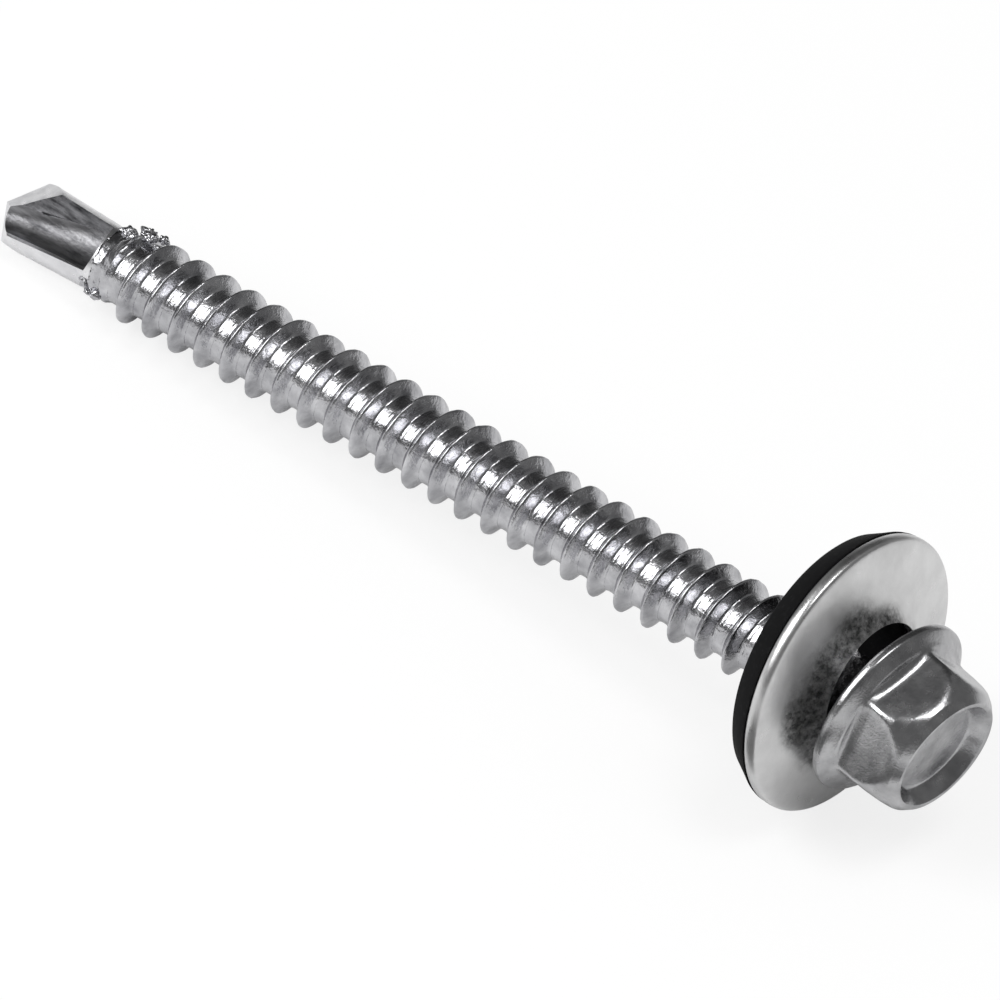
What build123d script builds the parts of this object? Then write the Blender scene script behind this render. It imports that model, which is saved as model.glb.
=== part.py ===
from build123d import *
from math import asin, cos, radians, sin, sqrt, tan
import os

os.makedirs("parts", exist_ok=True)

# Driving dimensions in mm and degrees
# Lengths along the screw are measured from the face under the flange towards the drill tip
# Angles around the screw are measured from its flute side

# Thread
thread_crest_radius = 2.65
thread_root_radius = 1.93
thread_pitch = 1.85
thread_crest_width = 0.14
thread_flank_width = 0.42
thread_start_runout = 0.9
thread_end_runout = 0.7
thread_angle = 209.0
thread_is_left_hand = True

# Shank and drill point
shank_length = 61.5
neck_radius = 2.0
drill_length = 7.6
drill_tip_radius = 2.2
drill_back_radius = 1.95
drill_point_angle = 118.0
relief_direction = -15.7
relief_slope = 45.2
gash_direction = 42.9
gash_slope = 58.4

# Flutes, as distances to the flute side and across it in the screw's cross section
flat_depth = 1.0
ridge_across_at_tip = -0.05
ridge_across_at_back = 1.3
heel_across_at_tip = -1.6
heel_across_at_back = -1.15
floor_depth_at_tip = 0.5
floor_depth_at_back = 0.95
floor_across = -0.55
flute_runout = 1.5

# Head
flange_radius = 5.37
flange_edge_height = 0.7
flange_edge_round = 0.3
flange_crown_height = 1.1
hex_across_flats = 8.0
hex_turn = -2.0
head_height = 4.75
head_end_round_height = 2.45
head_end_round_width = 1.1
head_end_round_bulge = 0.2
recess_radius = 3.3
recess_floor_radius = 2.7
recess_depth = 0.9
head_lean = 9.8
head_bend_height = 1.4

# Bonded washer, loose and a little askew under the flange
washer_gap = 0.72
washer_shift_across = 0.7
washer_shift_to_flute_side = 0.6
washer_lean = 3.5
washer_radius = 8.2
washer_hole_radius = 3.75
washer_thickness = 0.7
washer_dome_height = 1.5
washer_inner_slope = 50.0
washer_outer_slope = 18.0
seal_bore_radius = 3.5
seal_foot_radius = 7.3
seal_foot_depth = 1.5
seal_clearance = 0.3

# Turn of the screw about its own axis as it lies
roll = 45.0

# Points that can touch the ground: the washer's rim, the drill's lower edge and the last crest below
roll_sin = sin(radians(roll))
roll_cos = cos(radians(roll))
lean_sin = sin(radians(washer_lean))
lean_cos = cos(radians(washer_lean))
rim_depth = washer_dome_height + washer_thickness
rim_length = washer_gap + rim_depth * lean_cos
rim_out = washer_shift_to_flute_side - rim_depth * lean_sin
rim_rise = washer_shift_across * roll_sin + rim_out * roll_cos
thread_end = shank_length - drill_length
cone_length = drill_tip_radius / tan(radians(drill_point_angle / 2))
cone_start = shank_length - cone_length
gash_angle = radians(gash_direction)
tip_across = sqrt(drill_tip_radius**2 - flat_depth**2)
gash_length = tan(radians(gash_slope)) * (tip_across * sin(gash_angle) + flat_depth * cos(gash_angle))
edge_length = shank_length - gash_length
edge_share = (edge_length - thread_end) / (cone_start - thread_end)
edge_radius = drill_back_radius + edge_share * (drill_tip_radius - drill_back_radius)
edge_across = sqrt(edge_radius**2 - flat_depth**2)
edge_drop = flat_depth * roll_cos + edge_across * roll_sin
hand = -1 if thread_is_left_hand else 1
ground_angle = 180 + roll
full_thread_end = thread_end - thread_end_runout
crest_offset = hand * (ground_angle - thread_angle) / 360 * thread_pitch
crest_length = full_thread_end - (full_thread_end - crest_offset) % thread_pitch
settling_steps = 40


def rim_drop(slope):
    rim_normal_up = lean_cos * sin(slope) + lean_sin * roll_cos * cos(slope)
    return washer_radius * sqrt(1 - rim_normal_up**2)


def resting_slope(touch_length, touch_drop):
    slope = 0.0
    for step in range(settling_steps):
        fall = rim_drop(slope) - (touch_drop + rim_rise) * cos(slope)
        slope = asin(fall / (touch_length - rim_length))
    return slope


slope = min(resting_slope(edge_length, edge_drop), resting_slope(crest_length, thread_crest_radius))
axis_height = rim_length * sin(slope) + rim_drop(slope) - rim_rise * cos(slope)
corner_radius = hex_across_flats / 2 / cos(radians(30))
head_end_radius = corner_radius - head_end_round_width
axis_sideways = rim_out * roll_sin - washer_shift_across * roll_cos

# Directions of the screw, and of its head, which is bent over away from the across side
to_tip = Vector(-cos(slope), 0, -sin(slope))
to_flute_side = Vector(-sin(slope) * roll_cos, -roll_sin, cos(slope) * roll_cos)
across = to_tip.cross(to_flute_side)
head_to_tip = to_tip * cos(radians(head_lean)) + across * sin(radians(head_lean))
head_across = head_to_tip.cross(to_flute_side)
head_shift = (head_to_tip - to_tip) * head_bend_height
head_end_middle = head_shift - head_to_tip * head_height
head_reach = head_end_middle.X + head_end_radius * sqrt(1 - head_to_tip.X**2)
axis_forward = (shank_length * cos(slope) - head_reach) / 2

# Screw frame: z towards the drill tip and x towards the flute side
screw_plane = Plane(origin=(axis_forward, axis_sideways, axis_height), x_dir=to_flute_side, z_dir=to_tip)
screw_profile = Plane(origin=screw_plane.origin, x_dir=to_flute_side, z_dir=across * -1)
screw_axis = Axis(screw_plane.origin, to_tip)

# Head frame: z towards the washer and x towards the flute side
head_plane = Plane(origin=screw_plane.origin + head_shift, x_dir=to_flute_side, z_dir=head_to_tip)
head_profile = Plane(origin=head_plane.origin, x_dir=to_flute_side, z_dir=head_across * -1)
head_axis = Axis(head_plane.origin, head_to_tip)

# Washer frame: moved off the screw's axis and leaned
washer_shift = across * washer_shift_across + to_flute_side * washer_shift_to_flute_side
washer_centre = screw_plane.origin + to_tip * washer_gap + washer_shift
washer_to_tip = to_tip * lean_cos - to_flute_side * lean_sin
washer_profile = Plane(origin=washer_centre, x_dir=across, z_dir=across.cross(washer_to_tip))
washer_axis = Axis(washer_centre, washer_to_tip)


def polar(radius, angle):
    return (radius * cos(radians(angle)), radius * sin(radians(angle)))


def turned_plane(distance, angle):
    turned = to_flute_side * cos(radians(angle)) + across * sin(radians(angle))
    return Plane(origin=screw_plane.origin + to_tip * distance, x_dir=turned, z_dir=to_tip)


# Threaded length: one cross section carried along the axis as it turns
seal_foot = rim_depth + seal_foot_depth
thread_start = washer_gap + seal_foot + seal_clearance
threaded_span = thread_end - thread_start
crest_angle = 180 * thread_crest_width / thread_pitch
flank_angle = 360 * thread_flank_width / thread_pitch
thread_depth = thread_crest_radius - thread_root_radius
flank_steps = 6


def flank_points(side):
    points = []
    for k in range(flank_steps + 1):
        share = k / flank_steps
        points.append(polar(thread_crest_radius - share * thread_depth, side * (crest_angle + share * flank_angle)))
    return points


thread_plane = turned_plane(thread_start, thread_angle + hand * 360 * thread_start / thread_pitch)
with BuildSketch(thread_plane) as thread_section:
    with BuildLine():
        ThreePointArc(
            polar(thread_crest_radius, -crest_angle),
            polar(thread_crest_radius, 0),
            polar(thread_crest_radius, crest_angle),
        )
        Spline(*flank_points(1))
        ThreePointArc(
            polar(thread_root_radius, crest_angle + flank_angle),
            polar(thread_root_radius, 180),
            polar(thread_root_radius, -crest_angle - flank_angle),
        )
        Spline(*flank_points(-1))
    make_face()
threaded_length = Solid.extrude_linear_with_rotation(
    thread_section.sketch.faces()[0],
    center=thread_plane.origin,
    normal=to_tip * threaded_span,
    angle=hand * 360 * threaded_span / thread_pitch,
)


# Drill point: a round end with two flutes, two gashes and two relief faces
flute_reach = 2 * drill_tip_radius
flute_back = drill_length - flute_runout
runout_lift = drill_tip_radius - floor_depth_at_back


def flute_section(distance_from_tip, turn, lift):
    share = distance_from_tip / flute_back
    heel = heel_across_at_tip + share * (heel_across_at_back - heel_across_at_tip)
    ridge = ridge_across_at_tip + share * (ridge_across_at_back - ridge_across_at_tip)
    floor = floor_depth_at_tip + share * (floor_depth_at_back - floor_depth_at_tip)
    heel_depth = sqrt(drill_back_radius**2 - heel**2)
    floor_place = floor_across + (ridge - ridge_across_at_tip) / 2
    with BuildSketch(turned_plane(shank_length - distance_from_tip, turn)) as section:
        with BuildLine():
            ThreePointArc((heel_depth + lift, heel), (floor + lift, floor_place), (flat_depth + lift, ridge))
            Line((flat_depth + lift, ridge), (flat_depth + lift, flute_reach))
            Line((flat_depth + lift, flute_reach), (flute_reach, flute_reach))
            Line((flute_reach, flute_reach), (flute_reach, -flute_reach))
            Line((flute_reach, -flute_reach), (heel_depth + lift, heel))
        make_face()
    return section.sketch.faces()[0]


def slanted_plane(direction, slant):
    tip = screw_plane.origin + to_tip * shank_length
    outward = to_flute_side * cos(radians(direction)) + across * sin(radians(direction))
    return Plane(origin=tip, z_dir=to_tip * cos(radians(slant)) + outward * sin(radians(slant)))


flutes = []
for turn in (0, 180):
    back_end = flute_section(drill_length, turn, runout_lift)
    flutes.append([flute_section(0, turn, 0), flute_section(flute_back, turn, 0), back_end])
with BuildPart() as drill_point:
    with BuildSketch(screw_profile):
        with BuildLine():
            Polyline(
                (0, thread_end),
                (drill_back_radius, thread_end),
                (drill_tip_radius, cone_start),
                (0, shank_length),
                (0, thread_end),
            )
        make_face()
    revolve(axis=screw_axis)
    for flute in flutes:
        loft(sections=flute, ruled=True, mode=Mode.SUBTRACT)
    for turn in (0, 180):
        split(bisect_by=slanted_plane(relief_direction + turn, relief_slope), keep=Keep.BOTTOM)
        split(bisect_by=slanted_plane(gash_direction + turn, gash_slope), keep=Keep.BOTTOM)

# Screw: head, neck, thread and drill point formed as one piece
with BuildPart() as screw:
    add(threaded_length)
    with BuildSketch(screw_profile):
        with BuildLine():
            Polyline(
                (thread_root_radius, thread_start),
                (corner_radius, thread_start),
                (corner_radius, thread_start + thread_start_runout),
                (thread_crest_radius, thread_start + thread_start_runout),
                (thread_root_radius, thread_start),
            )
        make_face()
        with BuildLine():
            Polyline(
                (thread_root_radius, thread_end),
                (corner_radius, thread_end),
                (corner_radius, thread_end - thread_end_runout),
                (thread_crest_radius, thread_end - thread_end_runout),
                (thread_root_radius, thread_end),
            )
        make_face()
    revolve(axis=screw_axis, mode=Mode.SUBTRACT)
    add(drill_point.part)
    with BuildSketch(turned_plane(-head_bend_height, 0)):
        Circle(neck_radius)
    extrude(amount=head_bend_height + thread_start)
    with BuildSketch(head_plane):
        RegularPolygon(hex_across_flats / 2, 6, major_radius=False, rotation=hex_turn)
    extrude(amount=-head_height)
    with BuildSketch(head_profile):
        with BuildLine():
            SagittaArc(
                (corner_radius, -head_height + head_end_round_height),
                (head_end_radius, -head_height),
                head_end_round_bulge,
            )
            Polyline(
                (head_end_radius, -head_height),
                (corner_radius, -head_height),
                (corner_radius, -head_height + head_end_round_height),
            )
        make_face()
    revolve(axis=head_axis, mode=Mode.SUBTRACT)
    with BuildSketch(head_profile):
        with BuildLine():
            Polyline(
                (0, -head_height + recess_depth),
                (recess_floor_radius, -head_height + recess_depth),
                (recess_radius, -head_height),
                (0, -head_height),
                (0, -head_height + recess_depth),
            )
        make_face()
    revolve(axis=head_axis, mode=Mode.SUBTRACT)
    with BuildSketch(head_profile):
        with BuildLine():
            Line((0, 0), (flange_radius - flange_edge_round, 0))
            RadiusArc(
                (flange_radius - flange_edge_round, 0),
                (flange_radius, -flange_edge_round),
                flange_edge_round,
            )
            Line((flange_radius, -flange_edge_round), (flange_radius, -flange_edge_height + flange_edge_round))
            Line((flange_radius, -flange_edge_height + flange_edge_round), (corner_radius, -flange_crown_height))
            Line((corner_radius, -flange_crown_height), (0, -flange_crown_height))
            Line((0, -flange_crown_height), (0, 0))
        make_face()
    revolve(axis=head_axis)
screw.part.label = "screw"
export_step(screw.part, "parts/screw.step")

# Washer plate: a domed metal ring with a large hole
dome_start = (washer_hole_radius, 0)
dome_end = (washer_radius, washer_dome_height)
underside_start = (washer_hole_radius, washer_thickness)
underside_end = (washer_radius, rim_depth)
inner_tangent = polar(1, washer_inner_slope)
outer_tangent = polar(1, washer_outer_slope)
with BuildPart() as washer_plate:
    with BuildSketch(washer_profile):
        with BuildLine():
            Spline(dome_start, dome_end, tangents=(inner_tangent, outer_tangent))
            Line(dome_end, underside_end)
            Spline(underside_start, underside_end, tangents=(inner_tangent, outer_tangent))
            Line(underside_start, dome_start)
        make_face()
    revolve(axis=washer_axis)
washer_plate.part.label = "washer_plate"
export_step(washer_plate.part, "parts/washer_plate.step")

# Rubber seal: a ring bonded under the plate, seen through the plate's hole
with BuildPart() as rubber_seal:
    with BuildSketch(washer_profile):
        with BuildLine():
            Spline(underside_start, underside_end, tangents=(inner_tangent, outer_tangent))
            Polyline(
                underside_end,
                (seal_foot_radius, seal_foot),
                (seal_bore_radius, seal_foot),
                (seal_bore_radius, washer_thickness),
                underside_start,
            )
        make_face()
    revolve(axis=washer_axis)
rubber_seal.part.label = "rubber_seal"
export_step(rubber_seal.part, "parts/rubber_seal.step")
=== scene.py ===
import bpy
from math import atan2, cos, hypot, pi, radians, sin, tan
from mathutils import Matrix, Vector, noise


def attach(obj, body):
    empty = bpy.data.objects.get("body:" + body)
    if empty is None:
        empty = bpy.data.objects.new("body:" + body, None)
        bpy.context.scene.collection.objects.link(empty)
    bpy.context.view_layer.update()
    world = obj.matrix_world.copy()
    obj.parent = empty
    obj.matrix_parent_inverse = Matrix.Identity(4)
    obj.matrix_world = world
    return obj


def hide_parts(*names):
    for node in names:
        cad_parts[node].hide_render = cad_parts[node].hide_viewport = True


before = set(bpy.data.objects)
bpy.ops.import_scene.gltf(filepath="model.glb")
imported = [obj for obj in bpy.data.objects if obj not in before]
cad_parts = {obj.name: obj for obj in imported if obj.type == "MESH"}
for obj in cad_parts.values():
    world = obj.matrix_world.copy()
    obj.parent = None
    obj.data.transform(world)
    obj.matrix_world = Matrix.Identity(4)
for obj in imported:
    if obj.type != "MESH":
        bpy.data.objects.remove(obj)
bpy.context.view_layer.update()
scene = bpy.context.scene
MM = 0.001

# Camera: the photograph's view, looking down on the lying screw from the head end
camera_middle = Vector((247.6747, -415.5764, 445.1041))
camera_right = Vector((0.7659568, 0.6226393, 0.1600953))
camera_up = Vector((-0.5217299, 0.4565141, 0.7206891))
camera_back = Vector((0.3756436, -0.6355432, 0.6745196))
camera_turn = Matrix((camera_right, camera_up, camera_back)).transposed().to_4x4()
camera_data = bpy.data.cameras.new("camera")
camera_data.lens = 432
camera_data.sensor_width = 36
camera_data.clip_start = 0.01
camera_data.clip_end = 20
camera = bpy.data.objects.new("camera", camera_data)
camera.matrix_world = Matrix.Translation(camera_middle * MM) @ camera_turn
scene.collection.objects.link(camera)
scene.camera = camera
scene.view_settings.view_transform = "Standard"

# Sizes in mm, measured from the face under the flange towards the drill tip
crest_radius = 2.65
root_radius = 1.93
pitch = 1.85
crest_at = 209.0 / 360 * pitch
thread_turns = 29
thread_start = 4.72
thread_end = 53.9
neck_radius = 2.0
flute_radius = 1.86
flat_depth = 1.0
flange_radius = 5.37
crown_height = 1.1
hex_flat = 4.0
hex_corner = hex_flat / cos(radians(30))
hex_turn = -2.0
head_height = 4.75
head_end_radius = hex_corner - 1.1
head_taper_height = 2.45
recess_radius = 3.3
recess_floor_radius = 2.7
recess_depth = 0.9
bend_height = 1.4
hole_radius = 3.75
washer_radius = 8.2
dome_height = 1.5
plate_thickness = 0.7
rim_depth = dome_height + plate_thickness
bore_radius = 3.5
foot_radius = 7.3
foot_depth = 1.5
washer_gap = 0.72
washer_across = 0.7
washer_to_flute = 0.6

# Directions of the screw as it lies, of its bent head and of the leaning washer
slope = radians(5.4826976)
roll = radians(45)
head_lean = radians(9.8)
washer_lean = radians(3.5)
screw_origin = Vector((28.0337433, -0.1656799, 7.5792596))
to_tip = Vector((-cos(slope), 0, -sin(slope)))
to_flute_side = Vector((-sin(slope) * cos(roll), -sin(roll), cos(slope) * cos(roll)))
across = to_tip.cross(to_flute_side)
head_to_tip = to_tip * cos(head_lean) + across * sin(head_lean)
head_origin = screw_origin + (head_to_tip - to_tip) * bend_height
washer_to_tip = to_tip * cos(washer_lean) - to_flute_side * sin(washer_lean)
washer_middle = screw_origin + to_tip * washer_gap + across * washer_across + to_flute_side * washer_to_flute


def place_at(middle, first, along):
    # A place whose z runs along the given direction and whose x is the first one
    turned = Matrix((first, along.cross(first), along)).transposed().to_4x4()
    return Matrix.Translation(middle * MM) @ turned


screw_place = place_at(screw_origin, to_flute_side, to_tip)
head_place = place_at(head_origin, to_flute_side, head_to_tip)
washer_place = place_at(washer_middle, across, washer_to_tip)


def select_only(piece):
    bpy.ops.object.select_all(action="DESELECT")
    piece.select_set(True)
    bpy.context.view_layer.objects.active = piece


def draw_profile(name, points):
    # A single point drawn out into a line of (radius, along) points, in mm
    bpy.ops.object.select_all(action="DESELECT")
    bpy.ops.mesh.primitive_plane_add(size=MM, location=(0, 0, 0))
    piece = bpy.context.object
    piece.name = name
    bpy.ops.object.mode_set(mode="EDIT")
    bpy.ops.mesh.select_all(action="SELECT")
    bpy.ops.mesh.merge(type="CENTER")
    radius, along = points[0]
    bpy.ops.transform.translate(value=(radius * MM, 0, along * MM))
    for (r0, z0), (r1, z1) in zip(points, points[1:]):
        bpy.ops.mesh.extrude_vertices_move(
            TRANSFORM_OT_translate={"value": ((r1 - r0) * MM, 0, (z1 - z0) * MM)}
        )
    bpy.ops.object.mode_set(mode="OBJECT")
    return piece


def turn_round(piece, steps):
    # The drawn line spun into a closed round body
    select_only(piece)
    bpy.ops.object.mode_set(mode="EDIT")
    bpy.ops.mesh.select_all(action="SELECT")
    bpy.ops.mesh.spin(steps=steps, angle=2 * pi, center=(0, 0, 0), axis=(0, 0, 1))
    bpy.ops.mesh.select_all(action="SELECT")
    bpy.ops.mesh.remove_doubles(threshold=0.0005 * MM)
    bpy.ops.mesh.normals_make_consistent(inside=False)
    bpy.ops.object.mode_set(mode="OBJECT")


def cut_off(height, before=False, after=False):
    # In edit mode: what lies before or after this height is cut off. The fill asked for leaves
    # parts of the cut open; they lie inside the piece that meets it there
    bpy.ops.mesh.select_all(action="SELECT")
    bpy.ops.mesh.bisect(
        plane_co=(0, 0, height * MM),
        plane_no=(0, 0, 1),
        clear_inner=before,
        clear_outer=after,
        use_fill=True,
    )


def turn_outwards():
    # Faces turned outwards, and back out of edit mode
    bpy.ops.mesh.select_all(action="SELECT")
    bpy.ops.mesh.normals_make_consistent(inside=False)
    bpy.ops.object.mode_set(mode="OBJECT")


def move_points(piece, rule):
    # Each point of the mesh, in mm, goes where the rule says
    for vertex in piece.data.vertices:
        x, y, z = rule(vertex.co.x / MM, vertex.co.y / MM, vertex.co.z / MM)
        vertex.co = Vector((x, y, z)) * MM
    piece.data.update()


def smooth(piece, angle):
    select_only(piece)
    bpy.ops.object.shade_smooth_by_angle(angle=radians(angle))


def settle(piece, place):
    # The place goes into the mesh, so that the piece sits at the origin
    piece.data.transform(place)
    piece.matrix_world = Matrix.Identity(4)
    piece.data.update()


def rounded(points, radius, steps=4):
    # A drawn line with each inner corner rounded by the radius given for it
    out = [points[0]]
    for (a, b, c), r in zip(zip(points, points[1:], points[2:]), radius):
        a, b, c = Vector(a), Vector(b), Vector(c)
        if r == 0:
            out.append(tuple(b))
            continue
        into = (b - a).normalized()
        away = (c - b).normalized()
        turn = into.angle(away)
        back = min(r * tan(turn / 2), (b - a).length * 0.45, (c - b).length * 0.45)
        first = b - into * back
        last = b + away * back
        for k in range(steps + 1):
            t = k / steps
            point = first * (1 - t) ** 2 + b * 2 * t * (1 - t) + last * t**2
            out.append(tuple(point))
    out.append(points[-1])
    return out


# Thread: one pitch of its outline, carried round and along the shank left handed
def worn_thread(x, y, z):
    # The crest fades in and out at the ends, and is a little uneven all along
    radius = hypot(x, y)
    if radius <= root_radius - 0.05:
        return x, y, z
    depth = crest_radius - root_radius
    fade = max(0, min((z - thread_start) / 0.9, (thread_end - z - 0.5) / 1.7, 1))
    ragged = max(0, 1 - (thread_end - z) / 2.2)
    spot = Vector((x, y, z))
    uneven = noise.noise(spot * 0.9) * 0.035 + noise.noise(spot * 2.3) * 0.02
    uneven += ragged * abs(noise.noise(spot * 1.9)) * 0.5
    target = min(radius, root_radius + fade * depth)
    share = (target - root_radius) / depth
    target += uneven * (0.3 + share) - 0.02 * share
    target = min(target, crest_radius)
    return x * target / radius, y * target / radius, z


def make_thread():
    # Half of the outline as (along, radius), from the crest to midway between two crests
    flank = [(0, 2.65), (0.055, 2.635), (0.11, 2.56), (0.24, 2.33), (0.4, 2.06), (0.47, 1.965)]
    root = [(0.54, 1.935), (0.62, 1.93), (0.68, 1.955), (0.74, 1.93), (0.82, 1.93)]
    half_outline = flank + root
    top_crest = crest_at + 30 * pitch
    outline = [(root_radius, top_crest - pitch / 2)]
    outline += [(radius, top_crest - along) for along, radius in reversed(half_outline[1:])]
    outline += [(radius, top_crest + along) for along, radius in half_outline]
    outline += [(root_radius, top_crest + pitch / 2)]
    piece = draw_profile("thread", outline)
    winding = piece.modifiers.new("winding", "SCREW")
    winding.axis = "Z"
    winding.angle = 2 * pi
    winding.screw_offset = -pitch * MM
    winding.iterations = thread_turns
    winding.steps = 72
    winding.render_steps = 72
    winding.use_merge_vertices = True
    winding.merge_threshold = 0.001 * MM
    select_only(piece)
    bpy.ops.object.modifier_apply(modifier="winding")
    bpy.ops.object.mode_set(mode="EDIT")
    bpy.ops.mesh.select_all(action="SELECT")
    bpy.ops.mesh.remove_doubles(threshold=0.002 * MM)
    cut_off(thread_start, before=True)
    cut_off(thread_end, after=True)
    turn_outwards()
    move_points(piece, worn_thread)
    smooth(piece, 60)
    return piece


# Head: a turned blank with a flange, then the hexagon pressed into its wall
def hexagon_radius(angle):
    # The hexagon's reach in this direction, its corners slightly eased
    sharpness = 80
    gauge = 0
    for k in range(6):
        facing = cos(angle - radians(hex_turn + 30 + 60 * k))
        if facing > 0:
            gauge += facing**sharpness
    return hex_flat / gauge ** (1 / sharpness)


def pressed_head(x, y, z):
    # Flats pressed in above the flange, running out in a small fillet on its crown
    radius = hypot(x, y)
    if z > -crown_height or radius < 0.01:
        return x, y, z
    sharpness = 70
    side = hexagon_radius(atan2(y, x))
    flat = (radius**-sharpness + side**-sharpness) ** (-1 / sharpness)
    share = min(1, (-crown_height - z) / 0.4)
    new = radius + (flat - radius) * share**0.5
    return x * new / radius, y * new / radius, z


def make_head():
    end = -head_height
    recess_floor = end + recess_depth
    line = [(0, recess_floor), (1.3, recess_floor), (recess_floor_radius, recess_floor)]
    line += [(recess_radius, end), (head_end_radius, end), (3.9, -4.3), (4.2, -3.75), (4.45, -3.1)]
    line += [(hex_corner, end + head_taper_height), (hex_corner, -crown_height)]
    line += [(flange_radius, -0.5), (flange_radius, 0), (0, 0)]
    line = rounded(line, [0, 0.3, 0.16, 0.12, 0.3, 0.3, 0.3, 0.3, 0.3, 0.25, 0.25])
    # The wall needs short steps to take the hexagon's shape; the flange's rim and seat don't
    wall_step = 0.22
    finer = [line[0]]
    for a, b in zip(line, line[1:]):
        length = hypot(b[0] - a[0], b[1] - a[1])
        parts = max(1, round(length / wall_step)) if b[1] < -0.2 else 1
        for k in range(1, parts + 1):
            finer.append((a[0] + (b[0] - a[0]) * k / parts, a[1] + (b[1] - a[1]) * k / parts))
    piece = draw_profile("head", finer)
    turn_round(piece, 192)
    move_points(piece, pressed_head)
    smooth(piece, 50)
    return piece


def make_neck():
    # The plain stretch between the bent head and the thread
    line = [(0, -bend_height), (neck_radius, -bend_height), (neck_radius, thread_start - 0.05)]
    line += [(root_radius, thread_start + 0.05), (0, thread_start + 0.05)]
    piece = draw_profile("neck", line)
    turn_round(piece, 96)
    smooth(piece, 40)
    return piece


# Drill point: the modelled solid's own point, cut free where the thread ends
def longer_flute(x, y, z):
    # The flutes run on almost to the thread before they end
    old_end, new_end, still = 55.4, 54.3, 58.5
    if z < old_end:
        z = thread_end + (z - thread_end) * (new_end - thread_end) / (old_end - thread_end)
    elif z < still:
        z = new_end + (z - old_end) * (still - new_end) / (still - old_end)
    return x, y, z


def make_drill_point():
    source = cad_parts["screw"]
    piece = bpy.data.objects.new("drill_point", source.data.copy())
    scene.collection.objects.link(piece)
    settle(piece, screw_place.inverted() @ source.matrix_world)
    select_only(piece)
    bpy.ops.object.mode_set(mode="EDIT")
    bpy.ops.mesh.select_all(action="SELECT")
    bpy.ops.mesh.remove_doubles(threshold=0.001 * MM)
    cut_off(thread_end, before=True)
    turn_outwards()
    if piece.data.has_custom_normals:
        bpy.ops.mesh.customdata_custom_splitnormals_clear()
    smooth(piece, 25)
    # Finishes by face: 0 the outside, painted lighter; 1 the flutes, painted darker as shade; 2 where all
    # corners are at the flat's depth, painted near black as shade
    for face in piece.data.polygons:
        middle = face.center
        hollow = hypot(middle.x, middle.y) < flute_radius * MM and abs(face.normal.z) < 0.45
        corners = [piece.data.vertices[index].co.x / MM for index in face.vertices]
        flat = all(abs(abs(x) - flat_depth) < 0.012 for x in corners)
        face.material_index = 2 if flat else 1 if hollow else 0
    move_points(piece, longer_flute)
    return piece


# Flash: crumpled lumps left where the pinched point meets the first thread,
# each with its place along the screw, angle round it, distance from its axis, and size
flash_lumps = [
    (53.5, 72, 1.95, 0.34),
    (53.0, 62, 2.1, 0.3),
    (52.5, 84, 2.3, 0.4),
    (52.1, 70, 2.4, 0.28),
    (52.7, 48, 2.0, 0.24),
    (51.6, 86, 2.5, 0.26),
    (51.2, 60, 2.25, 0.22),
    (54.2, -58, 1.95, 0.26),
    (53.7, -78, 2.05, 0.32),
    (53.3, -66, 2.2, 0.24),
]


def crumpled_lump(along, angle, radius, size):
    bpy.ops.object.select_all(action="DESELECT")
    bpy.ops.mesh.primitive_ico_sphere_add(subdivisions=4, radius=size * MM)
    lump = bpy.context.object
    turned = radians(angle)
    middle = Vector((radius * cos(turned), radius * sin(turned), along))

    def crumple(x, y, z):
        spot = Vector((x, y, z)) + middle
        swell = 1 + 0.75 * noise.noise(spot * 3.1) + 0.4 * noise.noise(spot * 8.0)
        return middle.x + x * swell, middle.y + y * swell, middle.z + z * swell * 1.3

    move_points(lump, crumple)
    return lump


def make_flash():
    lumps = [crumpled_lump(*values) for values in flash_lumps]
    bpy.ops.object.select_all(action="DESELECT")
    for lump in lumps:
        lump.select_set(True)
    piece = lumps[0]
    bpy.context.view_layer.objects.active = piece
    bpy.ops.object.join()
    piece.name = "flash"
    smooth(piece, 60)
    return piece


# Washer: a thin domed plate with rolled edges, and the rubber ring bonded under it
def dome_line(start, end, first_slope, last_slope, steps=24):
    # A smooth line that leaves and arrives at the given slopes
    chord = hypot(end[0] - start[0], end[1] - start[1])
    leaving = (cos(radians(first_slope)), sin(radians(first_slope)))
    arriving = (cos(radians(last_slope)), sin(radians(last_slope)))
    points = []
    for k in range(steps + 1):
        t = k / steps
        a, b = 2 * t**3 - 3 * t**2 + 1, t**3 - 2 * t**2 + t
        c, d = -2 * t**3 + 3 * t**2, t**3 - t**2
        radius = a * start[0] + b * chord * leaving[0] + c * end[0] + d * chord * arriving[0]
        along = a * start[1] + b * chord * leaving[1] + c * end[1] + d * chord * arriving[1]
        points.append((radius, along))
    return points


dome_slopes = (50, 18)
over = dome_line((hole_radius, 0), (washer_radius, dome_height), *dome_slopes)
under = dome_line((hole_radius, plate_thickness), (washer_radius, rim_depth), *dome_slopes)


def mark_head_shade(piece):
    # The plate's own attribute for painted shade and painted reflection of the head round its hole, heavier
    # on one side
    head_shade = piece.data.attributes.new("head_shade", "FLOAT", "POINT")
    for vertex in piece.data.vertices:
        radius = hypot(vertex.co.x, vertex.co.y) / MM
        angle = atan2(vertex.co.y, vertex.co.x)
        ragged = noise.noise(Vector((cos(angle), sin(angle), radius * 0.4)) * 2.2) * 1.1
        edge = 5.2 + 1.3 * cos(angle + radians(115)) + ragged
        head_shade.data[vertex.index].value = max(0, min(1, (edge - radius) / 1.3))


def make_washer_plate():
    line = over[1:-1]
    for back, down in ((0.08, 0), (0.02, 0.1), (0, 0.3), (0.02, 0.55), (0.1, 0.66)):
        line.append((washer_radius - back, dome_height + down))
    line += list(reversed(under[1:-1]))
    for out, down in ((0.04, 0.62), (0, 0.4), (0.02, 0.15), (0.07, 0.09)):
        line.append((hole_radius + out, down))
    line.append(line[0])
    piece = draw_profile("washer_plate", line)
    turn_round(piece, 200)
    smooth(piece, 40)
    mark_head_shade(piece)
    return piece


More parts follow.
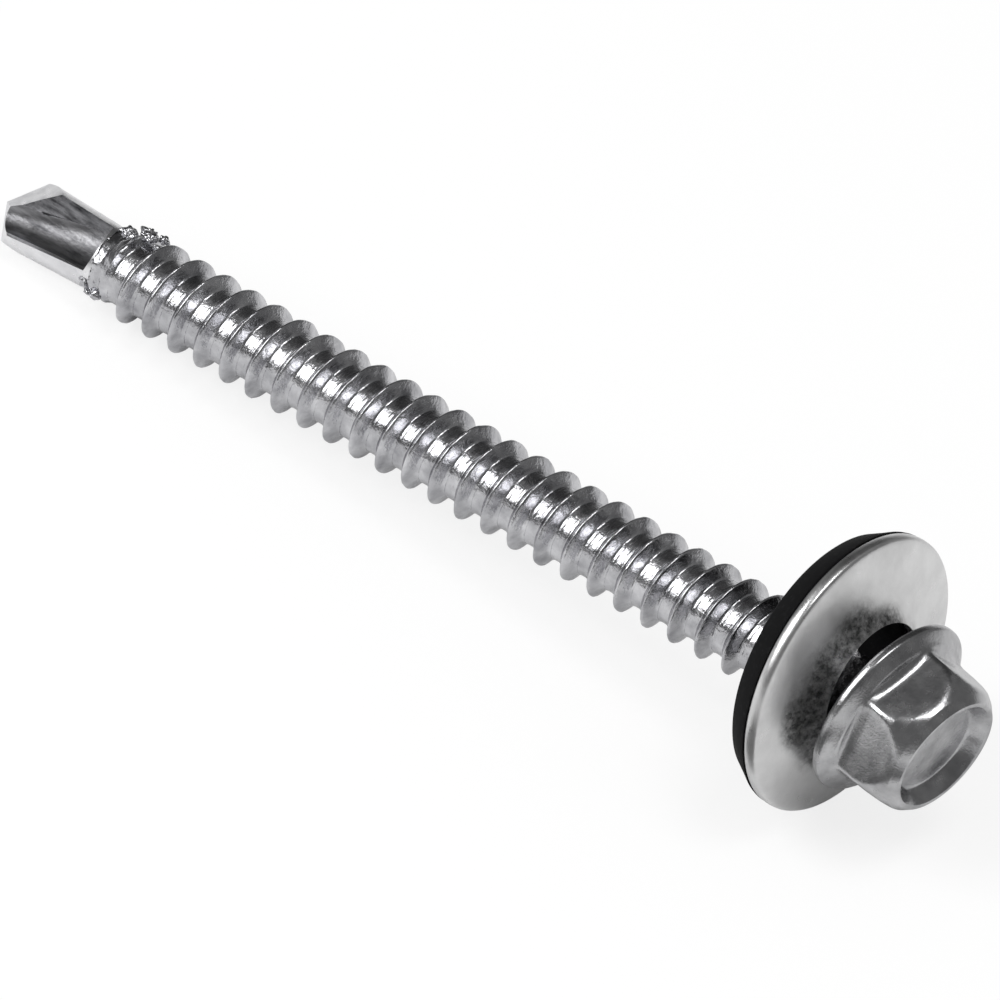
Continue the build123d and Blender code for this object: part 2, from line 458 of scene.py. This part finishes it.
def make_rubber_seal():
    start = (hole_radius + 0.02, plate_thickness + 0.02)
    foot = rim_depth + foot_depth
    line = [start] + under[1:-1]
    line += [(washer_radius - 0.03, rim_depth + 0.02), (washer_radius - 0.07, rim_depth + 0.15)]
    line += [(washer_radius - 0.35, rim_depth + 0.6)]
    line += [(foot_radius + 0.1, foot - 0.12), (foot_radius - 0.05, foot)]
    line += [(bore_radius + 0.1, foot), (bore_radius, foot - 0.1)]
    line += [(bore_radius, plate_thickness + 0.15), (bore_radius + 0.1, plate_thickness + 0.02)]
    line += [start]
    piece = draw_profile("rubber_seal", line)
    turn_round(piece, 160)
    smooth(piece, 40)
    return piece


thread = make_thread()
head = make_head()
neck = make_neck()
drill_point = make_drill_point()
flash = make_flash()
washer_plate = make_washer_plate()
rubber_seal = make_rubber_seal()


def new_material(name):
    material = bpy.data.materials.new(name)
    material.use_nodes = True
    return material, material.node_tree, material.node_tree.nodes["Principled BSDF"]


def grain(tree, size, detail, roughness=0.5, stretch=(1, 1, 1)):
    # Noise on Object coordinates, its size given in mm
    place = tree.nodes.new("ShaderNodeTexCoord")
    mapping = tree.nodes.new("ShaderNodeMapping")
    mapping.inputs["Scale"].default_value = stretch
    texture = tree.nodes.new("ShaderNodeTexNoise")
    texture.inputs["Scale"].default_value = 1 / (size * MM)
    texture.inputs["Detail"].default_value = detail
    texture.inputs["Roughness"].default_value = roughness
    tree.links.new(place.outputs["Object"], mapping.inputs["Vector"])
    tree.links.new(mapping.outputs["Vector"], texture.inputs["Vector"])
    return texture


def spread(tree, texture, low, high, start=0.3, end=0.7):
    # The noise stretched over a range of values
    reach = tree.nodes.new("ShaderNodeMapRange")
    reach.inputs["From Min"].default_value = start
    reach.inputs["From Max"].default_value = end
    reach.inputs["To Min"].default_value = low
    reach.inputs["To Max"].default_value = high
    tree.links.new(texture.outputs["Fac"], reach.inputs["Value"])
    return reach.outputs["Result"]


def tint(tree, value, dark, light):
    ramp = tree.nodes.new("ShaderNodeValToRGB")
    ramp.color_ramp.elements[0].color = (*dark, 1)
    ramp.color_ramp.elements[1].color = (*light, 1)
    tree.links.new(value, ramp.inputs["Fac"])
    return ramp.outputs["Color"]


def bumps(tree, shader, layers):
    # Fine and coarse unevenness added up, each with its height in mm
    normal = None
    for texture, height in layers:
        bump = tree.nodes.new("ShaderNodeBump")
        bump.inputs["Strength"].default_value = 1
        bump.inputs["Distance"].default_value = height * MM
        tree.links.new(texture.outputs["Fac"], bump.inputs["Height"])
        if normal:
            tree.links.new(normal, bump.inputs["Normal"])
        normal = bump.outputs["Normal"]
    tree.links.new(normal, shader.inputs["Normal"])


def head_shaded(tree, colour, dark):
    # The colour darkened, in specks, where the piece's own attribute for painted shade is high
    place = tree.nodes.new("ShaderNodeAttribute")
    place.attribute_name = "head_shade"
    specks = spread(tree, grain(tree, 0.5, 6, 0.75), 0.1, 1, 0.35, 0.6)
    amount = tree.nodes.new("ShaderNodeMath")
    amount.operation = "MULTIPLY"
    tree.links.new(place.outputs["Fac"], amount.inputs[0])
    tree.links.new(specks, amount.inputs[1])
    mix = tree.nodes.new("ShaderNodeMixRGB")
    mix.inputs["Color2"].default_value = (*dark, 1)
    tree.links.new(amount.outputs["Value"], mix.inputs["Fac"])
    tree.links.new(colour, mix.inputs["Color1"])
    return mix.outputs["Color"]


def plated_metal(name, dark, light, roughness, layers, patch=1.5, stretch=(1, 1, 1), head_shade=None):
    # Bare or zinc plated metal: cloudy colour, uneven polish, and bumps as (size, height) in mm
    material, tree, shader = new_material(name)
    shader.inputs["Metallic"].default_value = 1
    cloudy = spread(tree, grain(tree, patch, 5, 0.6, stretch), 0, 1)
    colour = tint(tree, cloudy, dark, light)
    # Where a dark colour is given, painted shade is laid in by the piece's own attribute
    if head_shade:
        colour = head_shaded(tree, colour, head_shade)
    tree.links.new(colour, shader.inputs["Base Color"])
    worn = grain(tree, patch * 0.4, 6, 0.65)
    tree.links.new(spread(tree, worn, *roughness), shader.inputs["Roughness"])
    bumps(tree, shader, [(grain(tree, size, 4, 0.6), height) for size, height in layers])
    return material


def rubber(name, dark, light):
    material, tree, shader = new_material(name)
    specks = spread(tree, grain(tree, 0.35, 3, 0.7), 0, 1, 0.55, 0.8)
    tree.links.new(tint(tree, specks, dark, light), shader.inputs["Base Color"])
    shader.inputs["Roughness"].default_value = 0.8
    shader.inputs["Specular IOR Level"].default_value = 0.15
    bumps(tree, shader, [(grain(tree, 0.3, 4), 0.01)])
    return material


rolled_steel = plated_metal(
    "rolled_steel",
    dark=(0.34, 0.34, 0.36),
    light=(0.76, 0.76, 0.78),
    roughness=(0.14, 0.28),
    layers=[(0.8, 0.05), (0.22, 0.02)],
)
# Its light end is set lower than the thread's: painted shade, standing in for a dark reflection on the hex
# faces
forged_head_and_shade = plated_metal(
    "forged_head_and_shade",
    dark=(0.36, 0.36, 0.37),
    light=(0.64, 0.64, 0.65),
    roughness=(0.18, 0.3),
    layers=[(1.2, 0.015), (0.12, 0.008)],
)
# Painted light: the point's outside is given a lighter colour than the same steel on the thread
point_painted_light = plated_metal(
    "point_painted_light",
    dark=(0.74, 0.74, 0.76),
    light=(0.94, 0.94, 0.95),
    roughness=(0.24, 0.4),
    layers=[(0.8, 0.02), (0.15, 0.006)],
)
satin_washer = plated_metal(
    "satin_washer",
    dark=(0.66, 0.66, 0.66),
    light=(0.82, 0.82, 0.82),
    roughness=(0.26, 0.38),
    layers=[(2.5, 0.03), (0.15, 0.006)],
    patch=3,
    # The dark colour of the painted shade and painted reflection of the head round the hole
    head_shade=(0.14, 0.14, 0.14),
)

# Marks left by the pinching dies run along the point
die_marks = (0.15, 1, 1)
# Painted shade: the flutes are given a far darker colour than the same steel elsewhere
flute_painted_shade = plated_metal(
    "flute_painted_shade",
    dark=(0.07, 0.07, 0.075),
    light=(0.34, 0.34, 0.35),
    roughness=(0.3, 0.45),
    layers=[(0.5, 0.02), (0.12, 0.01)],
    patch=0.5,
    stretch=die_marks,
)
# Painted shade: the flat beside the flute is painted near black
flat_painted_shade = plated_metal(
    "flat_painted_shade",
    dark=(0.008, 0.008, 0.009),
    light=(0.10, 0.10, 0.105),
    roughness=(0.34, 0.5),
    layers=[(0.5, 0.02), (0.12, 0.01)],
    patch=0.3,
    stretch=die_marks,
)
black_rubber = rubber("black_rubber", (0.003, 0.003, 0.0035), (0.014, 0.014, 0.015))


def dress(piece, *finishes):
    # The faces keep the number of the finish that they were given
    parts = [face.material_index for face in piece.data.polygons]
    piece.data.materials.clear()
    for finish in finishes:
        piece.data.materials.append(finish)
    if len(finishes) > 1:
        piece.data.polygons.foreach_set("material_index", parts)


for piece, place, body, slot, finishes in (
    (thread, screw_place, "screw", "zinc_steel", [rolled_steel]),
    (head, head_place, "screw", "zinc_steel", [forged_head_and_shade]),
    (neck, screw_place, "screw", "zinc_steel", [rolled_steel]),
    (drill_point, screw_place, "screw", "zinc_steel", [point_painted_light, flute_painted_shade, flat_painted_shade]),
    (flash, screw_place, "screw", "zinc_steel", [rolled_steel]),
    (washer_plate, washer_place, "washer", "washer_metal", [satin_washer]),
    (rubber_seal, washer_place, "washer", "seal_rubber", [black_rubber]),
):
    dress(piece, *finishes)
    settle(piece, place)
    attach(piece, body)
for piece in (thread, head, neck, drill_point, flash):
    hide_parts("screw")
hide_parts("washer_plate")
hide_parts("rubber_seal")
dress(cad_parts["screw"], rolled_steel)
dress(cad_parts["washer_plate"], satin_washer)
dress(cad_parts["rubber_seal"], black_rubber)


def white_paper():
    # Paper that glows for the camera, and still keeps a faint shadow
    material, tree, shader = new_material("white_paper")
    shader.inputs["Base Color"].default_value = (0.86, 0.86, 0.86, 1)
    shader.inputs["Roughness"].default_value = 0.9
    shader.inputs["Specular IOR Level"].default_value = 0.1
    seen = tree.nodes.new("ShaderNodeLightPath")
    glow = tree.nodes.new("ShaderNodeEmission")
    glow.inputs["Strength"].default_value = 1.06
    share = tree.nodes.new("ShaderNodeMath")
    share.operation = "MULTIPLY"
    share.inputs[1].default_value = 0.75
    mixed = tree.nodes.new("ShaderNodeMixShader")
    tree.links.new(seen.outputs["Is Camera Ray"], share.inputs[0])
    tree.links.new(share.outputs["Value"], mixed.inputs["Fac"])
    tree.links.new(shader.outputs["BSDF"], mixed.inputs[1])
    tree.links.new(glow.outputs["Emission"], mixed.inputs[2])
    tree.links.new(mixed.outputs["Shader"], tree.nodes["Material Output"].inputs["Surface"])
    return material


# Floor: a hair below the screw
bpy.ops.object.select_all(action="DESELECT")
bpy.ops.mesh.primitive_plane_add(size=6, location=(0, 0, -0.02 * MM))
floor = bpy.context.object
floor.name = "floor"
dress(floor, white_paper())

# World: white for the camera, dim in the metal's reflections, and a plain fill for the rest
world = bpy.data.worlds.new("studio")
world.use_nodes = True
scene.world = world
sky = world.node_tree
seen = sky.nodes.new("ShaderNodeLightPath")
strength = None
for ray, part in (("Is Camera Ray", 1.0), ("Is Glossy Ray", 0.16), ("Is Diffuse Ray", 0.45)):
    share = sky.nodes.new("ShaderNodeMath")
    share.operation = "MULTIPLY_ADD"
    share.inputs[1].default_value = part
    share.inputs[2].default_value = 0
    sky.links.new(seen.outputs[ray], share.inputs[0])
    if strength:
        sky.links.new(strength, share.inputs[2])
    strength = share.outputs["Value"]
sky.links.new(strength, sky.nodes["Background"].inputs["Strength"])
sky.nodes["Background"].inputs["Color"].default_value = (1, 1, 1, 1)


def soft_light(name, toward, distance, width, height, power):
    # A soft lamp out in the given direction, turned to the screw
    lamp = bpy.data.lights.new(name, "AREA")
    lamp.shape = "RECTANGLE"
    lamp.size = width
    lamp.size_y = height
    lamp.energy = power
    light = bpy.data.objects.new(name, lamp)
    spot = Vector(toward).normalized() * distance
    light.location = spot
    light.rotation_euler = spot.to_track_quat("Z", "Y").to_euler()
    scene.collection.objects.link(light)


def card(name, toward, distance, width, height, shade):
    # A plain card that only the metal reflects
    bpy.ops.object.select_all(action="DESELECT")
    bpy.ops.mesh.primitive_plane_add(size=1)
    piece = bpy.context.object
    piece.name = name
    spot = Vector(toward).normalized() * distance
    piece.scale = (width, height, 1)
    piece.rotation_euler = spot.to_track_quat("Z", "Y").to_euler()
    piece.location = spot
    material, tree, shader = new_material(name)
    glow = tree.nodes.new("ShaderNodeEmission")
    glow.inputs["Color"].default_value = (shade, shade, shade, 1)
    tree.links.new(glow.outputs["Emission"], tree.nodes["Material Output"].inputs["Surface"])
    dress(piece, material)
    piece.visible_camera = False
    piece.visible_diffuse = False
    piece.visible_shadow = False
    return piece


soft_light("key", (-0.50, -0.58, 0.66), 0.6, 0.26, 0.40, 1.9)
soft_light("overhead", (0.24, 0.02, 0.97), 0.6, 0.22, 0.22, 0.8)
card("dark_above", (-0.42, 0.62, 0.66), 0.6, 0.6, 0.6, 0.05)
card("dark_front", (-0.45, -0.87, 0.14), 0.7, 0.7, 0.14, 0.06)
# A grey card lies on the floor beside the head, for the reflections low on it
dark_low = card("dark_low", (0, 0, 1), 0.0001, 0.03, 0.03, 0.16)
dark_low.location = (0.032, -0.026, 0.0001)
